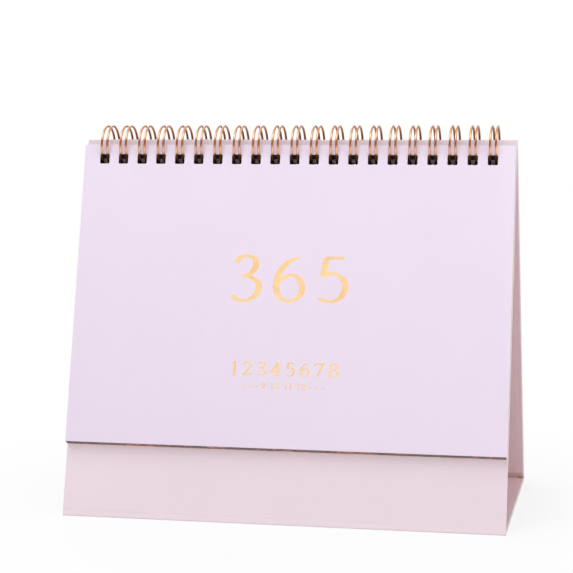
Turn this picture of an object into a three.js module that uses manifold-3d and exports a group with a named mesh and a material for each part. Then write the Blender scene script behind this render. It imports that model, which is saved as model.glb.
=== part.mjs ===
// Easel desk calendar: a folding card easel, a twin-loop wire binding along its ridge,
// and a cover with twelve month leaves that hang on the wire in front of the easel.
//
// Millimetres. +Z is up, the calendar faces -Y and +X runs along its width.
// The origin lies on the table, under the middle of the easel.
//
// The easel is an A-frame. Its front and rear panels lean against each other at the ridge,
// and a base creased along its middle ties their feet together. Each panel is a sheet of
// board with an outer paper wrap turned in over its edges and a lining glued inside.
// The wire rings share one axis just below the ridge, and every leaf turns on that axis.

import * as THREE from 'three';
import { mergeVertices } from 'three/addons/utils/BufferGeometryUtils.js';
import Module from 'manifold-3d';

// Easel panels
const panelOverhang = 0.35; // beyond the leaves at each side
const panelSlant = 164.7; // along the outer face, from the table to the top edge
const leanDegrees = 16.44; // from upright
const boardThickness = 1.5;
const baseBoardThickness = 1.0;
const paperThickness = 0.2;
const glueLine = 0.05;
const sideTurnIn = 14; // wrap folded in over the long edges of the board
const topTurnIn = 8;
const liningMargin = 2.5;
const ridgeGap = 0.3; // between the two panels where they lean together
const foldClearance = 0.3; // between pieces that meet at a fold
const foldPaperReach = 6; // how far a fold paper runs on from its fold
const foldPaperRadius = 0.6;
const creaseWidth = 3; // strip without board along the crease of the base
const creaseClearance = 0.3;

// Wire binding
const loopPitch = 25.4 / 3; // three loops to the inch
const loopMargin = 6; // least from the middle of a loop to the side of a leaf
const ringRadius = 9.65; // to the middle of the wire
const wireDiameter = 1;
const ringBelowTop = 3.02; // ring axis below the top edge of the panels
const frontSpread = 2.6; // between the two wires of a loop where they leave the front
const rearSpread = 1.96; // the same at the closed end
const bridgeDegrees = -75; // where the wire runs from loop to loop, inside the easel
const bendRadius = 0.9;
const closingGap = 0.1; // from the closed ends to the wire that they are pressed on to
const stubLength = 1.2; // cut end of the wire beyond the outermost loops
const armSteps = 12;
const tipSteps = 3;
const bendSteps = 2;
const wireSides = 5;

// Punched holes
const holeSize = 4.3;
const boardHoleDrop = 9.3; // from the ring axis down the panel to the hole centres
const coverHoleRise = 0.54; // cover's hole centres below the wire that carries it
const lastHoleRise = -1.22; // last leaf's, which hangs lowest

// Cover and leaves
const leafCount = 12;
const leafWidth = 187.7;
const leafHeight = 129.9;
const holeMargin = 6.4; // from the top edge of a leaf to its hole centres
const leafThickness = 0.26;
const coverThickness = 0.4;
const leafGap = 0.05;
const stackGap = 0.25; // between the last leaf and the front panel

// Sizes that follow from the ones above
const lean = THREE.MathUtils.degToRad(leanDegrees);
const panelWidth = leafWidth + 2 * panelOverhang;
const loopCount = Math.floor((leafWidth - 2 * loopMargin) / loopPitch) + 1;
const panelThickness = 3 * paperThickness + 3 * glueLine + boardThickness;
const baseThickness = 3 * paperThickness + 3 * glueLine + baseBoardThickness;
const innerFaceDepth = (ridgeGap / 2 + ringBelowTop * Math.sin(lean)) / Math.cos(lean);
const ringDepth = innerFaceDepth + panelThickness; // ring axis behind the outer faces
const ringSlant = panelSlant - ringBelowTop;
const halfDepth = ringSlant * Math.sin(lean) + ringDepth * Math.cos(lean);
const ringHeight = ringSlant * Math.cos(lean) - ringDepth * Math.sin(lean);
const panelFoot = (baseThickness + foldClearance + panelThickness * Math.sin(lean)) / Math.cos(lean);
const foldCorner = (foldPaperRadius * (1 + Math.sin(lean))) / Math.cos(lean);
const baseInset = foldCorner + baseThickness * Math.tan(lean);

const wasm = await Module();
wasm.setup();

// A closed geometry as a solid for cutting.
function toSolid(geometry) {
  const bare = geometry.clone();
  bare.deleteAttribute('normal');
  bare.deleteAttribute('uv');
  const merged = mergeVertices(bare, 1e-4);
  const mesh = new wasm.Mesh({
    numProp: 3,
    vertProperties: new Float32Array(merged.attributes.position.array),
    triVerts: new Uint32Array(merged.index.array),
  });
  return new wasm.Manifold(mesh);
}

// A solid back as a geometry.
function toGeometry(solid) {
  const mesh = solid.getMesh();
  const geometry = new THREE.BufferGeometry();
  geometry.setAttribute('position', new THREE.BufferAttribute(mesh.vertProperties, 3));
  geometry.setIndex(new THREE.BufferAttribute(mesh.triVerts, 1));
  geometry.computeVertexNormals();
  return geometry;
}

// A box between two corners.
function boxBetween(low, high) {
  const size = high.map((value, axis) => value - low[axis]);
  const geometry = new THREE.BoxGeometry(...size);
  geometry.translate(...low.map((value, axis) => value + size[axis] / 2));
  return geometry;
}

// Middles of the punched holes across the width.
function holePositions() {
  return Array.from({ length: loopCount }, (_, k) => (k - (loopCount - 1) / 2) * loopPitch);
}

// A solid with the row of square holes punched through it at a height, if one is given.
function punched(solid, holeHeight) {
  if (holeHeight === undefined) {
    return solid;
  }
  const reach = 50;
  return holePositions().reduce((rest, x) => {
    const punch = boxBetween(
      [x - holeSize / 2, -reach, holeHeight - holeSize / 2],
      [x + holeSize / 2, reach, holeHeight + holeSize / 2],
    );
    return rest.subtract(toSolid(punch));
  }, solid);
}

// A flat sheet, width along X and height along Z, with its outer face at y = depth and its
// thickness running on along Y.
function sheet(width, bottom, top, depth, thickness, holeHeight) {
  const low = [-width / 2, depth, bottom];
  const high = [width / 2, depth + thickness, top];
  return toGeometry(punched(toSolid(boxBetween(low, high)), holeHeight));
}

// A wrap: the outer paper of a panel, folded over its long edges, and over its top edge where
// the panel has one, and turned in behind the board.
function wrapGeometry(start, end, board, hasTop, holeHeight) {
  const side = panelWidth / 2;
  const cavityEnd = paperThickness + 2 * glueLine + board;
  const beyond = 5;
  const whole = boxBetween([-side, 0, start], [side, cavityEnd + paperThickness, end]);
  const cavity = boxBetween(
    [-side + paperThickness, paperThickness, start - beyond],
    [side - paperThickness, cavityEnd, hasTop ? end - paperThickness : end + beyond],
  );
  const window = boxBetween(
    [-side + sideTurnIn, board, start - beyond],
    [side - sideTurnIn, cavityEnd + beyond, hasTop ? end - topTurnIn : end + beyond],
  );
  const folded = toSolid(whole).subtract(toSolid(cavity)).subtract(toSolid(window));
  return toGeometry(punched(folded, holeHeight));
}

// A fold paper: the strip of outer paper that runs round a fold from the leaning panel to the
// base. Its section lies in the plane across the fold, with the panel's foot at the left.
function foldPaperGeometry() {
  const across = (distance, depth) => new THREE.Vector2(
    -halfDepth + distance * Math.sin(lean) + depth * Math.cos(lean),
    distance * Math.cos(lean) - depth * Math.sin(lean),
  );
  const reach = foldPaperReach - foldClearance;
  const turn = Math.PI / 2 + lean;
  const arcPoints = 5;
  const side = (depth) => {
    const radius = foldPaperRadius - depth;
    const centre = new THREE.Vector2(-halfDepth + foldCorner, foldPaperRadius);
    const points = [across(reach, depth)];
    for (let k = 0; k <= arcPoints; k += 1) {
      const angle = Math.PI - lean + turn * (k / arcPoints);
      points.push(new THREE.Vector2(
        centre.x + radius * Math.cos(angle),
        centre.y + radius * Math.sin(angle),
      ));
    }
    points.push(new THREE.Vector2(-halfDepth + reach, depth));
    return points;
  };
  const outline = new THREE.Shape([...side(0), ...side(paperThickness).reverse()]);
  const geometry = new THREE.ExtrudeGeometry(outline, { depth: panelWidth, bevelEnabled: false });
  geometry.translate(0, 0, -panelWidth / 2);
  const toCross = new THREE.Matrix4().makeBasis(
    new THREE.Vector3(0, 1, 0),
    new THREE.Vector3(0, 0, 1),
    new THREE.Vector3(1, 0, 0),
  );
  geometry.applyMatrix4(toCross);
  return geometry;
}

// The middle line of the wire, laid out flat: x along the ridge and a along the ring.
function wireLayout() {
  const bridge = THREE.MathUtils.degToRad(bridgeDegrees) * ringRadius;
  const tip = bridge + 2 * Math.PI * ringRadius - wireDiameter - closingGap - rearSpread / 2;
  const armStart = bridge + bendRadius;
  const half = (a) => THREE.MathUtils.mapLinear(a, armStart, tip, frontSpread / 2, rearSpread / 2);
  const points = [];
  holePositions().forEach((x, k) => {
    const foot = frontSpread / 2;
    if (k === 0) {
      points.push([x - foot - bendRadius - stubLength, bridge]);
    }
    for (let n = 0; n < bendSteps; n += 1) {
      const turn = (n / bendSteps) * Math.PI / 2;
      points.push([x - foot - bendRadius * (1 - Math.sin(turn)), bridge + bendRadius * (1 - Math.cos(turn))]);
    }
    for (let n = 0; n < armSteps; n += 1) {
      const a = THREE.MathUtils.lerp(armStart, tip, n / armSteps);
      points.push([x - half(a), a]);
    }
    for (let n = 0; n <= tipSteps; n += 1) {
      const turn = (n / tipSteps) * Math.PI;
      points.push([x - (rearSpread / 2) * Math.cos(turn), tip + (rearSpread / 2) * Math.sin(turn)]);
    }
    for (let n = armSteps - 1; n >= 0; n -= 1) {
      const a = THREE.MathUtils.lerp(armStart, tip, n / armSteps);
      points.push([x + half(a), a]);
    }
    for (let n = bendSteps - 1; n >= 0; n -= 1) {
      const turn = (n / bendSteps) * Math.PI / 2;
      points.push([x + foot + bendRadius * (1 - Math.sin(turn)), bridge + bendRadius * (1 - Math.cos(turn))]);
    }
    if (k === loopCount - 1) {
      points.push([x + foot + bendRadius + stubLength, bridge]);
    }
  });
  return points;
}

// The same line bent round the ring axis, its corners pushed out so that the straight steps
// between them lie as much inside the true circle as the corners lie outside it.
function wirePath() {
  const bow = (1 - Math.cos(Math.PI / armSteps)) / 2;
  const radius = ringRadius * (1 + bow);
  return wireLayout().map(([x, a]) => {
    const angle = a / ringRadius;
    return new THREE.Vector3(x, -radius * Math.cos(angle), ringHeight + radius * Math.sin(angle));
  });
}

// A tube with flat ends along a line of points, its section turned from step to step without
// twist.
function tubeGeometry(path, radius, sides) {
  const tangents = path.map((point, k) => {
    const before = path[Math.max(k - 1, 0)];
    const after = path[Math.min(k + 1, path.length - 1)];
    return after.clone().sub(before).normalize();
  });
  const normal = new THREE.Vector3(0, 0, 1).cross(tangents[0]).normalize();
  const positions = [];
  path.forEach((point, k) => {
    if (k > 0) {
      const turn = new THREE.Quaternion().setFromUnitVectors(tangents[k - 1], tangents[k]);
      normal.applyQuaternion(turn);
    }
    normal.addScaledVector(tangents[k], -normal.dot(tangents[k])).normalize();
    const binormal = tangents[k].clone().cross(normal);
    const before = path[Math.max(k - 1, 0)];
    const after = path[Math.min(k + 1, path.length - 1)];
    const inward = point.clone().sub(before).normalize();
    const outward = after.clone().sub(point).normalize();
    const bend = k > 0 && k < path.length - 1 ? Math.cos(inward.angleTo(outward) / 2) : 1;
    const hinge = inward.clone().cross(outward);
    const across = hinge.cross(tangents[k]).normalize();
    for (let n = 0; n < sides; n += 1) {
      const angle = (2 * Math.PI * n) / sides;
      const offset = normal.clone().multiplyScalar(radius * Math.cos(angle))
        .addScaledVector(binormal, radius * Math.sin(angle));
      offset.addScaledVector(across, offset.dot(across) * (1 / bend - 1));
      positions.push(...point.clone().add(offset).toArray());
    }
  });
  const indices = [];
  for (let k = 0; k < path.length - 1; k += 1) {
    for (let n = 0; n < sides; n += 1) {
      const a = k * sides + n;
      const b = k * sides + ((n + 1) % sides);
      indices.push(a, b, b + sides, a, b + sides, a + sides);
    }
  }
  const last = (path.length - 1) * sides;
  for (let n = 1; n < sides - 1; n += 1) {
    indices.push(0, n + 1, n);
    indices.push(last, last + n, last + n + 1);
  }
  const geometry = new THREE.BufferGeometry();
  geometry.setAttribute('position', new THREE.Float32BufferAttribute(positions, 3));
  geometry.setIndex(indices);
  geometry.computeVertexNormals();
  return geometry;
}

// Least gap between stretches of the wire that are not next to each other along it.
function leastWireGap(path) {
  const samples = [];
  let length = 0;
  const spacing = 0.25;
  for (let k = 0; k < path.length - 1; k += 1) {
    const step = path[k].distanceTo(path[k + 1]);
    const count = Math.ceil(step / spacing);
    for (let n = 0; n < count; n += 1) {
      samples.push({
        point: path[k].clone().lerp(path[k + 1], n / count),
        along: length + (step * n) / count,
      });
    }
    length += step;
  }
  const cell = loopPitch;
  const columns = new Map();
  samples.forEach((sample) => {
    const key = Math.floor(sample.point.x / cell);
    if (!columns.has(key)) {
      columns.set(key, []);
    }
    columns.get(key).push(sample);
  });
  const apart = Math.PI * bendRadius + 2 * wireDiameter;
  let least = Infinity;
  for (const [key, column] of columns) {
    const near = [...column, ...(columns.get(key + 1) ?? [])];
    for (const one of column) {
      for (const other of near) {
        if (Math.abs(one.along - other.along) > apart) {
          least = Math.min(least, one.point.distanceTo(other.point));
        }
      }
    }
  }
  return least - wireDiameter;
}

// How far below the ring axis a sheet's hole centres lie, for a sheet whose middle is that
// far in front of the axis: the wire passes its plane there, and the sheet hangs a little
// above or below it.
function hangingDrop(distance, rise) {
  return Math.sqrt(ringRadius ** 2 - distance ** 2) + rise;
}

function material(color, roughness, metalness = 0) {
  return new THREE.MeshStandardMaterial({ color, roughness, metalness });
}

const finishes = {
  board: material('#b9b3ac', 0.9),
  outerPaper: material('#ead9e3', 0.6),
  innerPaper: material('#d3bcc0', 0.7),
  foldPaper: material('#dccad6', 0.65),
  wire: material('#c98a5c', 0.28, 1),
  cover: material('#eddff2', 0.5),
  leaf: material('#f6f1f0', 0.7),
};

function addMesh(parent, name, geometry, finish) {
  const mesh = new THREE.Mesh(geometry, finish);
  mesh.name = name;
  parent.add(mesh);
  return mesh;
}

// One leaning panel with its outer face through the front foot of the easel.
function addLeaningPanel(parent, prefix) {
  const panel = new THREE.Group();
  panel.position.set(0, -halfDepth, 0);
  panel.rotation.x = -lean;
  const holeHeight = ringSlant - boardHoleDrop;
  const boardInset = paperThickness + glueLine;
  addMesh(panel, `${prefix}_board`, sheet(
    panelWidth - 2 * boardInset,
    panelFoot,
    panelSlant - boardInset,
    boardInset,
    boardThickness,
    holeHeight,
  ), finishes.board);
  const wrap = wrapGeometry(foldPaperReach, panelSlant, boardThickness, true, holeHeight);
  addMesh(panel, `${prefix}_wrap`, wrap, finishes.outerPaper);
  addMesh(panel, `${prefix}_lining`, sheet(
    panelWidth - 2 * liningMargin,
    panelFoot,
    panelSlant - liningMargin,
    panelThickness - paperThickness,
    paperThickness,
    holeHeight,
  ), finishes.innerPaper);
  parent.add(panel);
}

// One half of the base, from its fold under the panel to the crease.
function addBaseHalf(parent, prefix) {
  const half = new THREE.Group();
  half.position.set(0, -halfDepth, 0);
  half.rotation.set(Math.PI / 2, 0, Math.PI, 'ZYX');
  const boardInset = paperThickness + glueLine;
  const creaseEdge = halfDepth - creaseClearance / 2;
  addMesh(half, `${prefix}_board`, sheet(
    panelWidth - 2 * boardInset,
    baseInset,
    halfDepth - creaseWidth / 2,
    boardInset,
    baseBoardThickness,
  ), finishes.board);
  const wrap = wrapGeometry(foldPaperReach, creaseEdge, baseBoardThickness, false);
  addMesh(half, `${prefix}_wrap`, wrap, finishes.outerPaper);
  addMesh(half, `${prefix}_lining`, sheet(
    panelWidth - 2 * liningMargin,
    panelFoot * Math.sin(lean) + panelThickness * Math.cos(lean) + foldClearance,
    creaseEdge,
    baseThickness - paperThickness,
    paperThickness,
  ), finishes.innerPaper);
  parent.add(half);
}

// Everything on one side of the ridge.
function buildSide(side) {
  const group = new THREE.Group();
  addLeaningPanel(group, side);
  addBaseHalf(group, `base_${side}`);
  addMesh(group, `${side}_fold_paper`, foldPaperGeometry(), finishes.foldPaper);
  return group;
}

// The cover and the leaves behind it, from the front of the stack to the back, each a plain
// punched sheet in a group that stands on the ring axis.
function buildStack() {
  const stack = new THREE.Group();
  stack.position.set(0, 0, ringHeight);
  stack.rotation.x = -lean;
  const leafPitch = leafThickness + leafGap;
  const lastDistance = ringDepth + stackGap + leafThickness / 2;
  const coverDistance = ringDepth + stackGap + leafCount * leafPitch + coverThickness / 2;
  const coverDrop = hangingDrop(coverDistance, coverHoleRise);
  const lastDrop = hangingDrop(lastDistance, lastHoleRise);
  const hang = (name, distance, drop, thickness, finish) => {
    const top = holeMargin - drop;
    const geometry = sheet(leafWidth, top - leafHeight, top, -distance - thickness / 2, thickness, -drop);
    addMesh(stack, name, geometry, finish);
  };
  hang('cover_sheet', coverDistance, coverDrop, coverThickness, finishes.cover);
  for (let k = 1; k <= leafCount; k += 1) {
    const distance = lastDistance + (leafCount - k) * leafPitch;
    const drop = THREE.MathUtils.lerp(coverDrop, lastDrop, k / leafCount);
    hang(`month_leaf_${String(k).padStart(2, '0')}`, distance, drop, leafThickness, finishes.leaf);
  }
  return stack;
}

const calendar = new THREE.Group();
calendar.add(buildSide('front'));
const rear = buildSide('rear');
rear.rotation.z = Math.PI;
calendar.add(rear);

const path = wirePath();
console.log(`least gap between turns of the wire: ${leastWireGap(path).toFixed(2)} mm`);
addMesh(calendar, 'wire_binding', tubeGeometry(path, wireDiameter / 2, wireSides), finishes.wire);
calendar.add(buildStack());

export default calendar;
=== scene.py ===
"""Looks of an easel desk calendar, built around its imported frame.

Everything is in metres in the frame's own axes: +Z up, +X along the width, -Y out of the
front, with the table at Z = 0. The easel's papers, the wire, the cover and the month leaves
are modelled here. The boards keep the frame's shapes and get a material.
"""

from __future__ import annotations

import logging
import math
from contextlib import contextmanager
from dataclasses import dataclass
from enum import Enum
from typing import Callable, Iterator, Sequence

import bmesh
import bpy
from mathutils import Matrix, Vector

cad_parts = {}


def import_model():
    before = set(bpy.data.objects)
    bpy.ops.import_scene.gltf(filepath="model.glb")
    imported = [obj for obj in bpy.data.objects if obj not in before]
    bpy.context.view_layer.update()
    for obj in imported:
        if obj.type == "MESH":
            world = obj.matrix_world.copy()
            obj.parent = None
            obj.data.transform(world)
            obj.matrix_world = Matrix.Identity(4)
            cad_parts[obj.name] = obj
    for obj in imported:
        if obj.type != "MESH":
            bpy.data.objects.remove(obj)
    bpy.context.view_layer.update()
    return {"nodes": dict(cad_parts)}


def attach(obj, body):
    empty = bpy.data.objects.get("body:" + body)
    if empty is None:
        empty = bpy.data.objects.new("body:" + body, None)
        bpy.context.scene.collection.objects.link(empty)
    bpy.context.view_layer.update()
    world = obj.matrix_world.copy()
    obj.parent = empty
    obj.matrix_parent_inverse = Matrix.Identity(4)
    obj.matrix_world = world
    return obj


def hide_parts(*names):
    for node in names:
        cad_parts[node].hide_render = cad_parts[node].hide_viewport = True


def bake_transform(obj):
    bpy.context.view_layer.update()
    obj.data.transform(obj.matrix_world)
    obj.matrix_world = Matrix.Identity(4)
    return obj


LOG = logging.getLogger("calendar")
MM = 0.001
NUDGE = 1e-5  # metres within which two places are the same
FACING = 0.9  # least share of a normal along the way that its face looks
Triple = tuple[float, float, float]
Color = Triple
Stops = tuple[tuple[float, Color], ...]
Piece = bpy.types.Object
Material = bpy.types.Material
Socket = bpy.types.NodeSocket
Edge = bmesh.types.BMEdge


class Side(Enum):
    """The two sides of the easel, and the turn about Z that takes the front to each."""

    FRONT = ("front", 0.0)
    REAR = ("rear", math.pi)

    @property
    def prefix(self) -> str:
        """The word that the side's node names start with."""
        return self.value[0]

    @property
    def turn(self) -> Matrix:
        """The turn about Z."""
        return Matrix.Rotation(self.value[1], 4, "Z")


class Pick(Enum):
    """What an edit-mode selection holds."""

    EDGE = "edges"
    FACE = "faces"


@dataclass(frozen=True)
class EaselSizes:
    """Sizes of the folding easel, in metres."""

    width: float = 188.4 * MM
    slant: float = 164.7 * MM
    lean: float = math.radians(16.44)
    board: float = 1.5 * MM
    base_board: float = 1.0 * MM
    paper: float = 0.2 * MM
    glue: float = 0.05 * MM
    side_turn_in: float = 14 * MM
    top_turn_in: float = 8 * MM
    lining_margin: float = 2.5 * MM
    crease_gap: float = 0.04 * MM
    ridge_gap: float = 0.3 * MM
    ring_below_top: float = 3.02 * MM
    board_hole_drop: float = 9.3 * MM
    fold_radius: float = 0.6 * MM
    corner_radius: float = 0.45 * MM

    @property
    def skin(self) -> float:
        """Outer paper and turned-in paper with their glue."""
        return 2 * self.paper + 2 * self.glue

    @property
    def panel_thickness(self) -> float:
        """Board, wrap, turned-in wrap and lining with their glue."""
        return 3 * self.paper + 3 * self.glue + self.board

    @property
    def base_thickness(self) -> float:
        """The same for a half of the base."""
        return 3 * self.paper + 3 * self.glue + self.base_board

    @property
    def ring_depth(self) -> float:
        """How far the ring axis lies behind the outer face of a panel."""
        inner = (self.ridge_gap / 2 + self.ring_below_top * math.sin(self.lean)) / math.cos(self.lean)
        return inner + self.panel_thickness

    @property
    def ring_slant(self) -> float:
        """How far up a panel the ring axis lies."""
        return self.slant - self.ring_below_top

    @property
    def half_depth(self) -> float:
        """From the middle of the easel to the foot of a panel's outer face."""
        return self.ring_slant * math.sin(self.lean) + self.ring_depth * math.cos(self.lean)

    @property
    def ring_height(self) -> float:
        """Height of the ring axis above the table."""
        return self.ring_slant * math.cos(self.lean) - self.ring_depth * math.sin(self.lean)

    @property
    def fold_corner(self) -> float:
        """From the corner of a fold to where its rounding starts, along either face."""
        return self.fold_radius * (1 + math.sin(self.lean)) / math.cos(self.lean)

    @property
    def inner_foot(self) -> float:
        """How far up a panel its inner face meets the inner face of the base."""
        return (self.base_thickness + self.panel_thickness * math.sin(self.lean)) / math.cos(self.lean)

    def to_panel(self) -> Matrix:
        """Takes a panel standing upright on the origin to its leaning place at the front."""
        return Matrix.Translation((0, -self.half_depth, 0)) @ Matrix.Rotation(-self.lean, 4, "X")

    def to_ring(self) -> Matrix:
        """Takes a sheet that hangs from the origin to its leaning place on the ring axis."""
        return Matrix.Translation((0, 0, self.ring_height)) @ Matrix.Rotation(-self.lean, 4, "X")


@dataclass(frozen=True)
class BindingSizes:
    """Sizes of the wire and of the holes punched for it, in metres."""

    count: int = 21
    pitch: float = 25.4 / 3 * MM
    radius: float = 9.65 * MM
    wire: float = 0.96 * MM
    wire_radius: float = 9.6 * MM
    front_spread: float = 2.6 * MM
    rear_spread: float = 1.96 * MM
    bridge_angle: float = math.radians(-75)
    bend: float = 0.9 * MM
    closing_gap: float = 0.1 * MM
    stub: float = 1.2 * MM
    hole: float = 4.3 * MM
    hole_corner: float = 0.65 * MM

    def places(self) -> list[float]:
        """Middles of the loops across the width."""
        return [(k - (self.count - 1) / 2) * self.pitch for k in range(self.count)]


@dataclass(frozen=True)
class StackSizes:
    """Sizes of the cover and the month leaves, in metres."""

    leaves: int = 12
    width: float = 187.7 * MM
    height: float = 129.9 * MM
    hole_margin: float = 6.4 * MM
    leaf: float = 0.26 * MM
    leaf_rounding: float = 0.04 * MM
    cover: float = 0.4 * MM
    cover_rounding: float = 0.08 * MM
    leaf_gap: float = 0.05 * MM
    stack_gap: float = 0.25 * MM
    cover_rise: float = 0.54 * MM
    last_rise: float = -1.22 * MM


# Selecting and placing


def focus(obj: Piece) -> None:
    """Makes one object the active and only selected one.

    Args:
        obj: The object to work on.
    """
    if bpy.context.object and bpy.context.object.mode != "OBJECT":
        bpy.ops.object.mode_set(mode="OBJECT")
    bpy.ops.object.select_all(action="DESELECT")
    obj.select_set(True)
    bpy.context.view_layer.objects.active = obj


@contextmanager
def editing(obj: Piece) -> Iterator[None]:
    """Opens a mesh object in edit mode for the length of a with block.

    Args:
        obj: The mesh object to edit.

    Returns:
        A context that goes back to object mode at its end.
    """
    focus(obj)
    bpy.ops.object.mode_set(mode="EDIT")
    yield
    bpy.ops.object.mode_set(mode="OBJECT")


def pick(obj: Piece, kind: Pick, test: Callable[..., bool]) -> None:
    """Selects the parts of a mesh in edit mode that pass a test.

    Args:
        obj: The mesh object in edit mode.
        kind: Whether edges or faces are looked at.
        test: Says of one bmesh element whether it is wanted.
    """
    bpy.ops.mesh.select_mode(type=kind.name)
    bpy.ops.mesh.select_all(action="DESELECT")
    mesh = bmesh.from_edit_mesh(obj.data)
    for item in [item for item in getattr(mesh, kind.value) if test(item)]:
        item.select_set(True)
    mesh.select_flush_mode()
    bmesh.update_edit_mesh(obj.data)


def all_at(edge: Edge, test: Callable[[Vector], bool]) -> bool:
    """Whether both ends of an edge pass a test on their place."""
    return all(test(vert.co) for vert in edge.verts)


def near(value: float, target: float) -> bool:
    """Whether two lengths are the same but for rounding."""
    return abs(value - target) < NUDGE


def extrude(y: float = 0.0, z: float = 0.0) -> None:
    """Extrudes the selected edges of the mesh in edit mode by a move."""
    bpy.ops.mesh.extrude_edges_move(TRANSFORM_OT_translate={"value": (0, y, z)})


def turn_in(scale: Sequence[float], middle: Sequence[float]) -> None:
    """Extrudes the selected edges in place and draws them towards a middle."""
    extrude()
    bpy.ops.transform.resize(value=scale, center_override=middle)


def weld() -> None:
    """Welds the whole mesh in edit mode and turns its faces outwards."""
    bpy.ops.mesh.select_all(action="SELECT")
    bpy.ops.mesh.remove_doubles(threshold=NUDGE / 10)
    bpy.ops.mesh.normals_make_consistent(inside=False)


def cut_across(height: float) -> None:
    """Adds an edge across the mesh in edit mode at a height."""
    bpy.ops.mesh.select_all(action="SELECT")
    bpy.ops.mesh.bisect(plane_co=(0, 0, height), plane_no=(0, 0, 1))


def settle(obj: Piece, matrix: Matrix) -> None:
    """Moves an object by a matrix and puts the move into its mesh.

    Args:
        obj: The object to place.
        matrix: The move, in the frame's axes.
    """
    focus(obj)
    obj.matrix_world = matrix @ obj.matrix_world
    bpy.ops.object.transform_apply(location=True, rotation=True, scale=True)


def apply_modifier(obj: Piece, kind: str, **values: object) -> None:
    """Adds a modifier with its values and applies it at once.

    Args:
        obj: The mesh object.
        kind: Blender's name for the type of modifier.
        **values: The modifier's settings.
    """
    focus(obj)
    modifier = obj.modifiers.new(kind.title(), kind)
    for key, value in values.items():
        setattr(modifier, key, value)
    bpy.ops.object.modifier_apply(modifier=modifier.name)


def take_new(name: str, scale: Sequence[float]) -> Piece:
    """Names the shape that was just added and puts its size into its mesh.

    Args:
        name: The piece's name.
        scale: Its size along each of its own axes.

    Returns:
        The piece, with its place in its mesh.
    """
    piece = bpy.context.object
    piece.name = name
    piece.data.name = name
    piece.scale = scale
    bpy.ops.object.transform_apply(location=True, rotation=True, scale=True)
    return piece


def add_block(name: str, low: Sequence[float], high: Sequence[float]) -> Piece:
    """Adds a box between two corners, as the start of a piece.

    Args:
        name: The new object's name.
        low: The lowest corner.
        high: The highest corner.

    Returns:
        The box.
    """
    bpy.ops.object.select_all(action="DESELECT")
    bpy.ops.mesh.primitive_cube_add(size=1, location=[(a + b) / 2 for a, b in zip(low, high)])
    return take_new(name, [b - a for a, b in zip(low, high)])


def add_upright(name: str, width: float, low: float, high: float, depth: float = 0.0) -> Piece:
    """Adds a flat rectangle that stands across the width, as the start of a sheet.

    Args:
        name: The new object's name.
        width: How wide it is.
        low: Height of its lower edge.
        high: Height of its upper edge.
        depth: Its y.

    Returns:
        The rectangle.
    """
    bpy.ops.object.select_all(action="DESELECT")
    bpy.ops.mesh.primitive_plane_add(
        size=1, location=(0, depth, (low + high) / 2), rotation=(math.pi / 2, 0, 0)
    )
    return take_new(name, (width, high - low, 1))


def copy_of(obj: Piece, name: str) -> Piece:
    """Copies an object with a mesh of its own.

    Args:
        obj: The object to copy, with its place in its mesh.
        name: The copy's name.

    Returns:
        The copy.
    """
    mesh = obj.data.copy()
    mesh.name = name
    return link(bpy.data.objects.new(name, mesh))


def link(obj: Piece) -> Piece:
    """Links a new object into the scene and returns it."""
    bpy.context.scene.collection.objects.link(obj)
    return obj


def smooth(obj: Piece, degrees: float = 35) -> None:
    """Shades an object smooth except at edges that bend more than some degrees."""
    focus(obj)
    bpy.ops.object.shade_smooth_by_angle(angle=math.radians(degrees))


def dress(obj: Piece, material: Material) -> None:
    """Gives an object one material in place of any it has."""
    obj.data.materials.clear()
    obj.data.materials.append(material)


# Finishes


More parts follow.
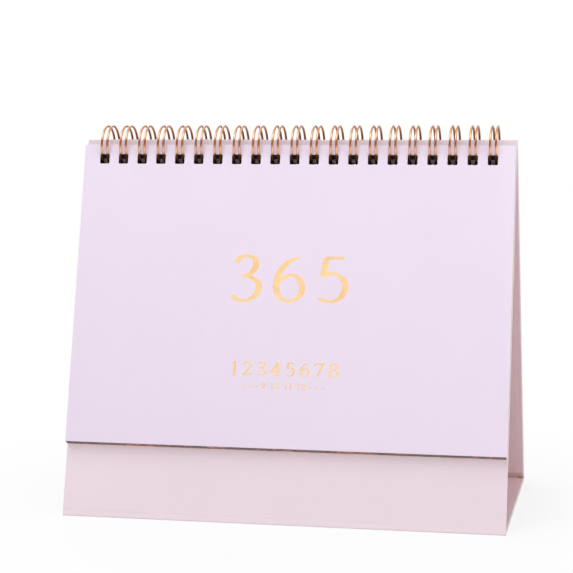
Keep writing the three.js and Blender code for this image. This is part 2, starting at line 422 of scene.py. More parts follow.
class Recipe:
    """The nodes of a material or a world under construction, with short calls for them."""

    def __init__(self, owner: Material | bpy.types.World) -> None:
        """Empties the owner's tree but for its output.

        Args:
            owner: The material or world.
        """
        self.owner = owner
        owner.use_nodes = True
        self.tree = owner.node_tree
        self.tree.nodes.clear()
        kind = "World" if isinstance(owner, bpy.types.World) else "Material"
        self.surface = self.node("Output" + kind).inputs["Surface"]

    def node(self, kind: str, **values: object) -> bpy.types.Node:
        """Adds a node with its settings and inputs.

        Args:
            kind: The node's type without its ShaderNode prefix.
            **values: Settings by their names, which are in lower case, and values or output
                sockets by input name with _ for a space.

        Returns:
            The node.
        """
        node = self.tree.nodes.new("ShaderNode" + kind)
        for key, value in values.items():
            if key.islower():
                setattr(node, key, value)
            else:
                self.feed(node.inputs[key.replace("_", " ")], value)
        return node

    def feed(self, socket: Socket, value: object) -> None:
        """Links an output to a socket, or sets the socket's own value.

        Args:
            socket: The input socket.
            value: An output socket, a number, a vector or an opaque colour.
        """
        if isinstance(value, Socket):
            self.tree.links.new(value, socket)
        else:
            socket.default_value = (*value, 1.0) if socket.type == "RGBA" else value

    def math(self, operation: str, *values: object) -> Socket:
        """A Math node's result.

        Args:
            operation: The node's operation.
            *values: Its values or sockets in order.

        Returns:
            The result socket.
        """
        node = self.node("Math", operation=operation)
        for socket, value in zip(node.inputs, values):
            self.feed(socket, value)
        return node.outputs[0]

    def all_of(self, first: Socket, *others: Socket) -> Socket:
        """Whether all of some conditions hold.

        Args:
            first: A value that is 0 or 1.
            *others: More such values.

        Returns:
            Their product.
        """
        for other in others:
            first = self.math("MULTIPLY", first, other)
        return first

    def place(self, kind: str = "Object") -> Socket:
        """The piece's own coordinates, or its Normal."""
        return self.node("TexCoord").outputs[kind]

    def split(self, kind: str = "Object") -> list[Socket]:
        """The x, y and z of the piece's own coordinates, or of its Normal."""
        return list(self.node("SeparateXYZ", Vector=self.place(kind)).outputs)

    def noise(self, scale: Triple, detail: float) -> Socket:
        """Noise from 0 to 1, with features per metre each way and some finer layers."""
        mapping = self.node("Mapping", Vector=self.place(), Scale=scale)
        return self.noise_at(mapping.outputs[0], detail)

    def noise_at(self, place: Socket, detail: float) -> Socket:
        """Noise from 0 to 1 at a place, with some finer layers."""
        return self.node("TexNoise", Vector=place, Scale=1.0, Detail=detail).outputs[0]

    def ramp(self, value: object, stops: Stops) -> Socket:
        """A colour ramp.

        Args:
            value: What drives the ramp.
            stops: Places from 0 to 1 with their colours.

        Returns:
            The colour socket.
        """
        node = self.node("ValToRGB", Fac=value)
        elements = node.color_ramp.elements
        while len(elements) < len(stops):
            elements.new(0.5)
        for element, (place, color) in zip(elements, stops):
            element.position = place
            element.color = (*color, 1.0)
        return node.outputs[0]

    def mix(self, share: object, first: object, second: object, blend: str = "MIX") -> Socket:
        """A mix of two colours.

        Args:
            share: How much of the second colour there is.
            first: A colour or a socket.
            second: A colour or a socket.
            blend: The Mix node's way to blend.

        Returns:
            The mixed colour.
        """
        node = self.node("Mix", data_type="RGBA", blend_type=blend)
        for place, value in ((0, share), (6, first), (7, second)):
            self.feed(node.inputs[place], value)
        return node.outputs[2]

    def spread(self, value: object, low: float, high: float) -> Socket:
        """A value from 0 to 1 spread between two limits."""
        return self.node("MapRange", Value=value, To_Min=low, To_Max=high).outputs[0]

    def seen(self) -> Socket:
        """Whether a surface is looked at, straight, in a mirror or through glass.

        Returns:
            1 for such rays, and 0 for the rays that carry light.
        """
        rays = self.node("LightPath").outputs
        mirrored = self.math("MAXIMUM", rays["Is Camera Ray"], rays["Is Glossy Ray"])
        return self.math("MAXIMUM", mirrored, rays["Is Transmission Ray"])

    def blend_shaders(self, share: Socket, first: bpy.types.Node, second: bpy.types.Node) -> None:
        """Closes the recipe with a mix of two shaders.

        Args:
            share: How much of the second shader there is.
            first: The first shader.
            second: The second shader.
        """
        mixed = self.node("MixShader")
        for socket, value in zip(mixed.inputs, (share, first.outputs[0], second.outputs[0])):
            self.feed(socket, value)
        self.feed(self.surface, mixed.outputs[0])


def srgb(red: int, green: int, blue: int) -> Color:
    """A colour given in screen values from 0 to 255.

    Args:
        red: Its red channel.
        green: Its green channel.
        blue: Its blue channel.

    Returns:
        The linear values from 0 to 1 that Blender takes.
    """
    def linear(value: float) -> float:
        """One channel, by the sRGB curve."""
        return value / 12.92 if value <= 0.04045 else ((value + 0.055) / 1.055) ** 2.4
    return tuple(linear(channel / 255) for channel in (red, green, blue))


@dataclass(frozen=True, kw_only=True)
class Finish:
    """A finish whose roughness and relief follow a fine noise.

    The noise has a scale in features per metre each way and a detail of finer layers. The
    relief's depth is in metres.
    """

    name: str
    scale: Triple
    detail: float
    smoothest: float
    roughest: float
    depth: float = 0.0
    strength: float = 0.6
    metallic: float = 0.0

    def tint(self, recipe: Recipe, noise: Socket) -> Socket:
        """Mixes the colour, each kind of finish in its own way.

        Args:
            recipe: The material's recipe.
            noise: The fine noise.

        Returns:
            The colour.
        """
        raise NotImplementedError

    def material(self) -> Material:
        """Builds the material.

        Returns:
            The finished material.
        """
        recipe = Recipe(bpy.data.materials.new(self.name))
        noise = recipe.noise(self.scale, self.detail)
        shader = recipe.node(
            "BsdfPrincipled", Base_Color=self.tint(recipe, noise), Metallic=self.metallic,
            Roughness=recipe.spread(noise, self.smoothest, self.roughest),
        )
        if self.depth:
            relief = recipe.node("Bump", Height=noise, Distance=self.depth, Strength=self.strength)
            recipe.feed(shader.inputs["Normal"], relief.outputs[0])
        recipe.feed(recipe.surface, shader.outputs[0])
        return recipe.owner


@dataclass(frozen=True, kw_only=True)
class PaperFinish(Finish):
    """A coated or plain paper with fine fibre and faint clouding.

    It may have painted shade beside the easel's folds, for the hinge grooves that lie in shade:
    on upright faces below a height, and on any face from some distance out.
    """

    color: Color
    cloud: Color
    # crease is a painted shade colour for the hinge grooves beside the folds
    crease: Color | None = None
    crease_height: float = 4.0 * MM
    crease_from: float = 44.8 * MM
    upright: float = 0.6
    scale: Triple = (900.0, 900.0, 2600.0)
    detail: float = 6.0
    depth: float = 0.006 * MM
    fibres: Stops = ((0.3, (0.97, 0.97, 0.97)), (0.7, (1.0, 1.0, 1.0)))
    cloud_scale: Triple = (35.0, 35.0, 35.0)
    cloud_detail: float = 2.0
    cloud_share: float = 0.8

    def tint(self, recipe: Recipe, noise: Socket) -> Socket:
        """Clouds the paper, paints shade beside the folds and adds its fibres.

        Args:
            recipe: The material's recipe.
            noise: The fibres' noise.

        Returns:
            The colour.
        """
        clouds = recipe.spread(recipe.noise(self.cloud_scale, self.cloud_detail), 0.0, self.cloud_share)
        color = recipe.mix(clouds, self.color, self.cloud)
        # Painted shade in the hinge grooves: low upright faces, and faces near the fold line, take the
        # crease colour
        if self.crease:
            _, out, up = recipe.split()
            facing_up = recipe.math("ABSOLUTE", recipe.split("Normal")[2])
            low = recipe.math("LESS_THAN", up, self.crease_height)
            upright = recipe.math("LESS_THAN", facing_up, self.upright)
            outer = recipe.math("GREATER_THAN", recipe.math("ABSOLUTE", out), self.crease_from)
            in_crease_shade = recipe.all_of(low, recipe.math("MAXIMUM", upright, outer))
            color = recipe.mix(in_crease_shade, color, self.crease)
        return recipe.mix(1.0, color, recipe.ramp(noise, self.fibres), "MULTIPLY")


@dataclass(frozen=True, kw_only=True)
class GreyboardFinish(Finish):
    """Recycled board with flecks of darker and paler fibre, and painted shade above a height."""

    name: str = "greyboard"
    scale: Triple = (1500.0, 4000.0, 1500.0)
    detail: float = 5.0
    smoothest: float = 0.8
    roughest: float = 0.95
    depth: float = 0.03 * MM
    strength: float = 1.0
    # Painted shade: the board is near-black above this height, so the binding holes look dark
    head: float = 140 * MM
    head_color: Color = srgb(62, 40, 36)
    flecks: Stops = (
        (0.25, srgb(198, 168, 164)), (0.5, srgb(212, 184, 180)), (0.75, srgb(224, 200, 196)),
    )

    def tint(self, recipe: Recipe, noise: Socket) -> Socket:
        """Colours the flecks and paints the shade above the height."""
        head = recipe.math("GREATER_THAN", recipe.split()[2], self.head)
        return recipe.mix(head, recipe.ramp(noise, self.flecks), self.head_color)


@dataclass(frozen=True, kw_only=True)
class WireFinish(Finish):
    """Rose-gold lacquered wire with faint drawing marks.

    Its tones go by the angle round the ring, in degrees up from the front. They are painted
    light and shade: painted shade inside the holes, a painted highlight just above them, a
    painted dark reflection below the ridge and painted highlights over the top.
    """

    ring_height: float
    name: str = "rose_gold_wire"
    scale: Triple = (2500.0, 2500.0, 2500.0)
    detail: float = 4.0
    smoothest: float = 0.26
    roughest: float = 0.36
    depth: float = 0.01 * MM
    strength: float = 0.5
    metallic: float = 1.0
    # Painted reflections and shade by angle: near-black painted shade inside the holes, a painted highlight
    # above them, a dark painted reflection band below the ridge, pale painted highlights over the top
    tones: tuple[tuple[float, tuple[int, int, int]], ...] = (
        (-180, (140, 80, 46)), (-60, (46, 24, 18)), (-13, (58, 32, 24)), (-8, (240, 186, 142)),
        (3, (234, 172, 124)), (12, (140, 78, 44)), (23, (152, 88, 54)), (34, (240, 194, 154)),
        (60, (232, 178, 130)), (90, (196, 134, 88)), (130, (190, 125, 80)), (150, (150, 88, 54)),
    )
    # The rim darkens the wire towards its outline as seen: partly the tinted lacquer's deeper colour at
    # grazing angles, partly painted shade standing in for dark reflections at its edges
    rim: Color = srgb(120, 66, 36)
    rim_blend: float = 0.35
    rim_share: float = 0.7
    drawn: Color = srgb(150, 92, 56)
    drawn_share: float = 0.25

    def tint(self, recipe: Recipe, noise: Socket) -> Socket:
        """Paints reflections and shade round the ring, darkens the rim and adds the drawing marks.

        Args:
            recipe: The material's recipe.
            noise: The drawing marks' noise.

        Returns:
            The colour.
        """
        # Painted reflections, highlights and shade follow the angle round the ring
        _, out, up = recipe.split()
        above = recipe.math("SUBTRACT", up, self.ring_height)
        angle = recipe.math("ARCTAN2", above, recipe.math("MULTIPLY", out, -1.0))
        around = recipe.node("MapRange", Value=angle, From_Min=-math.pi, From_Max=math.pi)
        stops = tuple((degrees / 360 + 0.5, srgb(*tone)) for degrees, tone in self.tones)
        # Rim darkening: partly lacquer tint at grazing angles, partly painted shade for dark reflections
        facing = recipe.node("LayerWeight", Blend=self.rim_blend).outputs["Facing"]
        rim = recipe.math("MULTIPLY", facing, self.rim_share)
        edged = recipe.mix(rim, recipe.ramp(around.outputs[0], stops), self.rim)
        return recipe.mix(recipe.spread(noise, 0.0, self.drawn_share), edged, self.drawn)


@dataclass(frozen=True, kw_only=True)
class PatchyFinish(Finish):
    """Foil or ink that lies a little unevenly, in patches of like tones."""

    tones: Stops
    patch_scale: Triple
    patch_detail: float = 3.0

    def tint(self, recipe: Recipe, noise: Socket) -> Socket:
        """Colours the patches."""
        return recipe.ramp(recipe.noise(self.patch_scale, self.patch_detail), self.tones)


@dataclass(frozen=True, kw_only=True)
class LeafFinish(Finish):
    """White leaf paper, printed on its front.

    It has a printed mottled band at the foot of the faces that look to the front, and painted
    shade, near-black, along the holes on all faces but those that look to the rear, which
    darkens the binding holes. Heights are measured along the leaning leaf.
    """

    lean: float
    foot: float
    holes_at: float
    half_width: float
    seed: float
    pale: bool
    scale: Triple = (1200.0, 1200.0, 2400.0)
    detail: float = 5.0
    smoothest: float = 0.55
    roughest: float = 0.68
    depth: float = 0.006 * MM
    facing: float = 0.5
    band: float = 3.2 * MM
    # Painted shade along the binding holes: how far it reaches from their middle, its inset from the sides
    # and its near-black colour
    margin: float = 3.6 * MM
    margin_inset: float = 1.2 * MM
    patch_scale: float = 110.0
    patch_detail: float = 2.0
    margin_color: Color = srgb(58, 32, 28)
    white: Stops = ((0.3, srgb(244, 238, 235)), (0.7, srgb(251, 247, 244)))
    pale_band: Stops = (
        (0.35, srgb(222, 178, 170)), (0.65, srgb(236, 204, 196)),
    )
    dark_band: Stops = (
        (0.28, srgb(62, 54, 62)), (0.36, srgb(48, 32, 38)), (0.42, srgb(124, 62, 56)),
        (0.48, srgb(44, 28, 34)), (0.54, srgb(66, 36, 40)), (0.59, srgb(198, 110, 84)),
        (0.64, srgb(112, 58, 54)), (0.72, srgb(48, 32, 38)),
    )

    def tint(self, recipe: Recipe, noise: Socket) -> Socket:
        """Prints the band on the white paper and paints shade along the holes.

        Args:
            recipe: The material's recipe.
            noise: The fibres' noise.

        Returns:
            The colour.
        """
        x, y, z = recipe.split()
        height = recipe.math("ADD", recipe.math("MULTIPLY", z, math.cos(self.lean)),
                             recipe.math("MULTIPLY", y, math.sin(self.lean)))
        towards_rear = recipe.split("Normal")[1]
        inked = recipe.all_of(
            recipe.math("LESS_THAN", height, self.foot + self.band),
            recipe.math("LESS_THAN", towards_rear, -self.facing),
        )
        along = recipe.node("CombineXYZ", X=recipe.math("MULTIPLY", x, self.patch_scale), Y=self.seed)
        patches = recipe.noise_at(along.outputs[0], self.patch_detail)
        ink = recipe.ramp(patches, self.pale_band if self.pale else self.dark_band)
        from_holes = recipe.math("ABSOLUTE", recipe.math("SUBTRACT", height, self.holes_at))
        # Painted shade: near-black on the hole walls and along the holes on faces that don't look to the
        # rear, so the binding holes look dark
        in_hole_shade = recipe.all_of(
            recipe.math("LESS_THAN", from_holes, self.margin),
            recipe.math("LESS_THAN", recipe.math("ABSOLUTE", x), self.half_width - self.margin_inset),
            recipe.math("LESS_THAN", towards_rear, self.facing),
        )
        printed = recipe.mix(inked, recipe.ramp(noise, self.white), ink)
        return recipe.mix(in_hole_shade, printed, self.margin_color)


OUTER_PAPER = PaperFinish(
    name="outer_paper", color=srgb(236, 219, 227), cloud=srgb(232, 214, 222), smoothest=0.44, roughest=0.56
)
# The lining's crease colour is painted shade for the hinge grooves at the folds
INNER_PAPER = PaperFinish(
    name="inner_paper", color=srgb(240, 215, 218), cloud=srgb(236, 210, 213), crease=srgb(218, 181, 180),
    smoothest=0.54, roughest=0.66,
)
COVER_CARD = PaperFinish(
    name="cover_card", color=srgb(240, 226, 243), cloud=srgb(237, 222, 240), smoothest=0.39, roughest=0.51
)
GOLD_FOIL = PatchyFinish(
    name="gold_foil", scale=(1800.0, 1800.0, 1800.0), detail=4.0, smoothest=0.42, roughest=0.55,
    depth=0.008 * MM, metallic=1.0, patch_scale=(160.0, 160.0, 160.0),
    tones=((0.35, srgb(224, 186, 138)), (0.5, srgb(229, 193, 145)), (0.65, srgb(234, 200, 153))),
)
LEAF_INK = PatchyFinish(
    name="leaf_ink", scale=(2000.0, 2000.0, 2000.0), detail=3.0, smoothest=0.5, roughest=0.62,
    patch_scale=(2000.0, 2000.0, 2000.0), tones=((0.3, srgb(92, 80, 84)), (0.7, srgb(116, 102, 106))),
)


# Punching


@dataclass
class Punch:
    """The row of rounded square punches that cuts the binding holes."""

    binding: BindingSizes
    reach: float = 12 * MM

    def cut(self, sheet: Piece, height: float, matrix: Matrix = Matrix.Identity(4)) -> None:
        """Punches the holes through a sheet.

        Args:
            sheet: The closed mesh to punch.
            height: Height of the hole centres on the upright sheet.
            matrix: Takes the upright punches to where the sheet stands.
        """
        half = self.binding.hole / 2
        first = self.binding.places()[0]
        low = (first - half, -self.reach, height - half)
        punch = add_block("punches", low, (first + half, self.reach, height + half))
        with editing(punch):
            pick(punch, Pick.EDGE, lambda edge: edge.calc_length() > self.reach)
            bpy.ops.mesh.bevel(offset=self.binding.hole_corner, segments=4, affect="EDGES")
        apply_modifier(
            punch, "ARRAY", count=self.binding.count, use_relative_offset=False,
            use_constant_offset=True, constant_offset_displace=(self.binding.pitch, 0, 0),
        )
        settle(punch, matrix)
        apply_modifier(sheet, "BOOLEAN", operation="DIFFERENCE", solver="EXACT", object=punch)
        bpy.data.objects.remove(punch)


# Easel


@dataclass
class EaselSheet:
    """A sheet on one side of the easel, modelled at the front and then turned to its side."""

    easel: EaselSizes
    punch: Punch
    side: Side

    def close(self, sheet: Piece, faces_rear: bool) -> None:
        """Gives the open sheet its thickness and its holes.

        Args:
            sheet: The open sheet, placed at the front.
            faces_rear: Whether its largest face, which stays in place, looks to the rear.
        """
        e = self.easel
        with editing(sheet):
            weld()
            mesh = bmesh.from_edit_mesh(sheet.data)
            largest = max(mesh.faces, key=lambda face: face.calc_area())
            if (largest.normal.y > 0) != faces_rear:
                bpy.ops.mesh.flip_normals()
        apply_modifier(sheet, "SOLIDIFY", thickness=e.paper, offset=-1.0, use_even_offset=True)
        self.punch.cut(sheet, e.ring_slant - e.board_hole_drop, e.to_panel())


@dataclass
class OuterPaper(EaselSheet):
    """The outer paper of one side of the easel, in one sheet.

    It covers the panel, runs round the fold and covers half of the base, and it is turned in
    over the edges of the boards from where its walls start.
    """

    wall_start: float = 3.0 * MM
    base_wall_start: float = 1.5 * MM

    def build(self, outside: Material, inside: Material) -> Piece:
        """Models the sheet at its place and dresses it.

        Args:
            outside: The paper's material.
            inside: The material of the edges that are turned in.

        Returns:
            The finished piece.
        """
        paper = self.add_panel()
        settle(paper, self.easel.to_panel())
        self.add_fold_and_base(paper)
        self.close(paper, faces_rear=False)
        dress(paper, outside)
        paper.data.materials.append(inside)
        with editing(paper):
            pick(paper, Pick.FACE, self.is_turned_in)
            paper.active_material_index = 1
            bpy.ops.object.material_slot_assign()
        settle(paper, self.side.turn)
        smooth(paper)
        apply_modifier(paper, "WEIGHTED_NORMAL", keep_sharp=True, weight=100)
        return paper

    def is_turned_in(self, face: bmesh.types.BMFace) -> bool:
        """Whether a face belongs to the edges that are turned in.

        Args:
            face: A face of the sheet, placed at the front.

        Returns:
            Whether it lies on the inner side of the panel or of the base.
        """
        e = self.easel
        upright = e.to_panel().inverted()
        place = face.calc_center_median()
        middle = upright @ place
        faces_in = (upright.to_3x3() @ face.normal).y > FACING
        in_panel = faces_in and middle.y > e.board + e.skin - NUDGE and middle.z > self.wall_start / 2
        in_base = face.normal.z > FACING and e.base_board + e.skin - NUDGE < place.z < self.wall_start
        return in_panel or in_base

    def add_panel(self) -> Piece:
        """Models the paper of the panel, standing upright, with its turned-in edges.

        Returns:
            The open sheet.
        """
        e = self.easel
        half = e.width / 2
        deep = e.skin + e.board
        rise = e.slant - self.wall_start
        paper = add_upright(f"{self.side.prefix}_outer_paper", e.width, e.fold_corner, e.slant)
        with editing(paper):
            cut_across(self.wall_start)
            pick(paper, Pick.EDGE, lambda edge: edge.is_boundary and (
                self.is_at_side(edge, self.wall_start - NUDGE) or self.is_at_top(edge)
            ))
            extrude(y=deep)
            turn_in(
                ((half - e.side_turn_in) / half, 1, (rise - e.top_turn_in) / rise),
                (0, deep, self.wall_start),
            )
            pick(paper, Pick.EDGE, lambda edge: not edge.is_boundary and (
                self.is_at_side(edge) or self.is_at_top(edge)
            ) and (all_at(edge, lambda co: near(co.y, 0)) or all_at(edge, lambda co: near(co.y, deep))))
            bpy.ops.mesh.bevel(offset=e.corner_radius, segments=3, affect="EDGES")
        return paper

    def is_at_side(self, edge: Edge, above: float = -math.inf) -> bool:
        """Whether an edge lies at the left or right side of the sheet, above a height."""
        return all_at(edge, lambda co: near(abs(co.x), self.easel.width / 2) and co.z > above)

    def is_at_top(self, edge: Edge) -> bool:
        """Whether an edge lies at the top of the upright sheet."""
        return all_at(edge, lambda co: near(co.z, self.easel.slant))

    def add_fold_and_base(self, paper: Piece) -> None:
        """Runs the placed sheet on round the fold and under the base.

        Args:
            paper: The panel's sheet, leaning at the front.
        """
        e = self.easel
        half = e.width / 2
        deep = e.skin + e.base_board
        foot = e.fold_corner * math.cos(e.lean)
        start = -e.half_depth + e.fold_corner
        wall = -e.half_depth + self.base_wall_start
        crease = -e.crease_gap / 2
        with editing(paper):
            pick(paper, Pick.EDGE, lambda edge: edge.is_boundary and all_at(
                edge, lambda co: near(co.z, foot)
            ))
            bpy.ops.mesh.spin(
                steps=6, angle=-math.pi / 2 - e.lean, center=(0, start, e.fold_radius), axis=(1, 0, 0)
            )
            extrude(y=wall - start)
            extrude(y=crease - wall)
            pick(paper, Pick.EDGE, lambda edge: edge.is_boundary and self.is_at_side(edge) and near(
                edge.verts[0].co.x, edge.verts[1].co.x
            ) and all_at(edge, lambda co: near(co.z, 0) and co.y > wall - NUDGE))
            extrude(z=deep)
            turn_in(((half - e.side_turn_in) / half, 1, 1), (0, 0, deep))
            pick(paper, Pick.EDGE, lambda edge: not edge.is_boundary and self.is_at_side(edge) and all_at(
                edge, lambda co: co.y > wall - NUDGE
            ) and (all_at(edge, lambda co: near(co.z, 0)) or all_at(edge, lambda co: near(co.z, deep))))
            bpy.ops.mesh.bevel(offset=e.corner_radius, segments=3, affect="EDGES")
            pick(paper, Pick.EDGE, lambda edge: edge.is_boundary and all_at(
                edge, lambda co: near(co.y, crease) and near(co.z, 0)
            ))
            extrude(z=deep - e.paper - e.glue)


@dataclass
class InnerPaper(EaselSheet):
    """The lining of one side of the easel, glued in over the turned-in edges.

    It runs down the inner face of the panel, through the fold and on over half of the base.
    Its fold bends over a short soft stretch on either side.
    """

    soft: float = 0.5 * MM

    def build(self, material: Material) -> Piece:
        """Models the sheet at its place and dresses it.

        Args:
            material: The lining's material.

        Returns:
            The finished piece.
        """
        e = self.easel
        lining = add_upright(
            f"{self.side.prefix}_inner_paper", e.width - 2 * e.lining_margin,
            e.inner_foot, e.slant - e.lining_margin, e.panel_thickness,
        )
        with editing(lining):
            cut_across(e.inner_foot + self.soft)
        settle(lining, e.to_panel())
        corner = e.to_panel() @ Vector((0, e.panel_thickness, e.inner_foot))
        with editing(lining):
            pick(lining, Pick.EDGE, lambda edge: all_at(edge, lambda co: near(co.z, corner.z)))
            extrude(y=self.soft)
            extrude(y=-e.crease_gap / 2 - corner.y - self.soft)
        self.close(lining, faces_rear=True)
        dress(lining, material)
        settle(lining, self.side.turn)
        smooth(lining)
        return lining


# Wire


@dataclass
class WireBinding:
    """The one wire that is bent into twin loops along the ridge."""

    easel: EaselSizes
    binding: BindingSizes
    arm_steps: int = 40
    tip_steps: int = 12
    bend_steps: int = 6
    section_steps: int = 4

    def layout(self) -> list[tuple[float, float]]:
        """The wire's middle line laid out flat, as x along the ridge and a along the ring.

        Returns:
            The points in order along the wire.
        """
        b = self.binding
        foot = b.front_spread / 2
        back = b.rear_spread / 2
        bridge = b.bridge_angle * b.wire_radius
        start = bridge + b.bend
        tip = bridge + 2 * math.pi * b.wire_radius - b.wire - b.closing_gap - back
        left = []
        for n in range(self.bend_steps):
            turn = n / self.bend_steps * math.pi / 2
            left.append((-foot - b.bend * (1 - math.sin(turn)), bridge + b.bend * (1 - math.cos(turn))))
        for n in range(self.arm_steps):
            share = n / self.arm_steps
            left.append((-(foot + (back - foot) * share), start + (tip - start) * share))
        turns = [n / self.tip_steps * math.pi for n in range(self.tip_steps + 1)]
        cap = [(-back * math.cos(turn), tip + back * math.sin(turn)) for turn in turns]
        loop = left + cap + [(-x, a) for x, a in reversed(left)]
        points = [(x + place, a) for place in b.places() for x, a in loop]
        reach = foot + b.bend + b.stub
        return [(b.places()[0] - reach, bridge), *points, (b.places()[-1] + reach, bridge)]

    def build(self, material: Material) -> Piece:
        """Sweeps the wire along its line and dresses it.

        Args:
            material: The wire's material.

        Returns:
            The finished piece.
        """
        radius = self.binding.wire_radius
        line = bpy.data.curves.new("twin_loop_wire", "CURVE")
        line.dimensions = "3D"
        line.bevel_depth = self.binding.wire / 2
        line.bevel_resolution = self.section_steps
        line.use_fill_caps = True
        points = self.layout()
        spline = line.splines.new("POLY")
        spline.points.add(len(points) - 1)
        for point, (x, a) in zip(spline.points, points):
            up = self.easel.ring_height + radius * math.sin(a / radius)
            point.co = (x, -radius * math.cos(a / radius), up, 1)
        focus(link(bpy.data.objects.new("twin_loop_wire", line)))
        bpy.ops.object.convert(target="MESH")
        wire = bpy.context.object
        with editing(wire):
            weld()
        smooth(wire, degrees=60)
        dress(wire, material)
        return wire


# Print


@dataclass(frozen=True)
class Nib:
    """A broad pen: strokes come out thick across it and thin along it."""

    wide: float
    narrow: float

    def reach(self, normal: Vector) -> float:
        """Half the width of a stroke whose side faces a direction."""
        return math.hypot(self.wide * normal.x, self.narrow * normal.y) / 2


@dataclass(frozen=True)
class Line:
    """A line of figures, dashes and spaces on an upright sheet.

    The pen and the gap between figures are shares of the figures' height. The line's middle
    lies at x, and below the sheet's top edge.
    """

    text: str
    height: float
    below: float
    nib: Nib
    gap: float = 0.13
    stretch: float = 1.0
    x: float = 0.0


Stroke = list[tuple[float, float]]


def oval(x: float, y: float, wide: float, high: float, count: int = 8) -> Stroke:
    """A closed stroke about a middle, with half its width, half its height and its points."""
    angles = [2 * math.pi * k / count + math.pi / 2 for k in range(count + 1)]
    return [(x + wide * math.cos(t), y + high * math.sin(t)) for t in angles]


BOWL = [(0.47, 0.97), (0.27, 0.87), (0.1, 0.62), (0.05, 0.34), (0.12, 0.09), (0.31, 0.0),
        (0.5, 0.1), (0.56, 0.31), (0.47, 0.52), (0.3, 0.58), (0.08, 0.42)]
# Each character's strokes, in a box one unit high: up to three points straight, more curved
STROKES: dict[str, list[Stroke]] = {
    "0": [oval(0.32, 0.5, 0.27, 0.5)],
    "1": [[(0.22, 1.0), (0.22, 0.0)], [(0.06, 0.87), (0.22, 1.0)], [(0.08, 0.0), (0.36, 0.0)]],
    "2": [[(0.06, 0.76), (0.14, 0.94), (0.3, 1.0), (0.48, 0.91), (0.51, 0.72), (0.41, 0.48),
           (0.22, 0.23), (0.03, 0.02)], [(0.03, 0.02), (0.54, 0.02)], [(0.54, 0.02), (0.59, 0.17)]],
    "3": [[(0.07, 0.84), (0.15, 0.96), (0.28, 1.0), (0.43, 0.92), (0.45, 0.75), (0.35, 0.6),
           (0.18, 0.54)], [(0.18, 0.54), (0.38, 0.51), (0.52, 0.37), (0.5, 0.15), (0.33, 0.01),
                           (0.14, 0.0), (0.02, 0.1)]],
    "4": [[(0.42, 1.0), (0.02, 0.3), (0.58, 0.3)], [(0.42, 1.0), (0.42, 0.0)], [(0.3, 0.0), (0.54, 0.0)]],
    "5": [[(0.14, 0.97), (0.5, 0.97)], [(0.15, 0.97), (0.1, 0.56)],
          [(0.1, 0.56), (0.27, 0.63), (0.46, 0.54), (0.54, 0.33), (0.46, 0.11), (0.26, 0.0), (0.03, 0.07)]],
    "6": [BOWL],
    "7": [[(0.04, 0.97), (0.55, 0.97), (0.2, 0.0)], [(0.04, 0.97), (0.01, 0.82)]],
    "8": [oval(0.3, 0.76, 0.2, 0.24), oval(0.3, 0.26, 0.26, 0.27)],
    "9": [[(0.6 - x, 0.98 - y) for x, y in BOWL]],
    "-": [[(0.0, 0.36), (0.75, 0.36)]],
    " ": [],
}


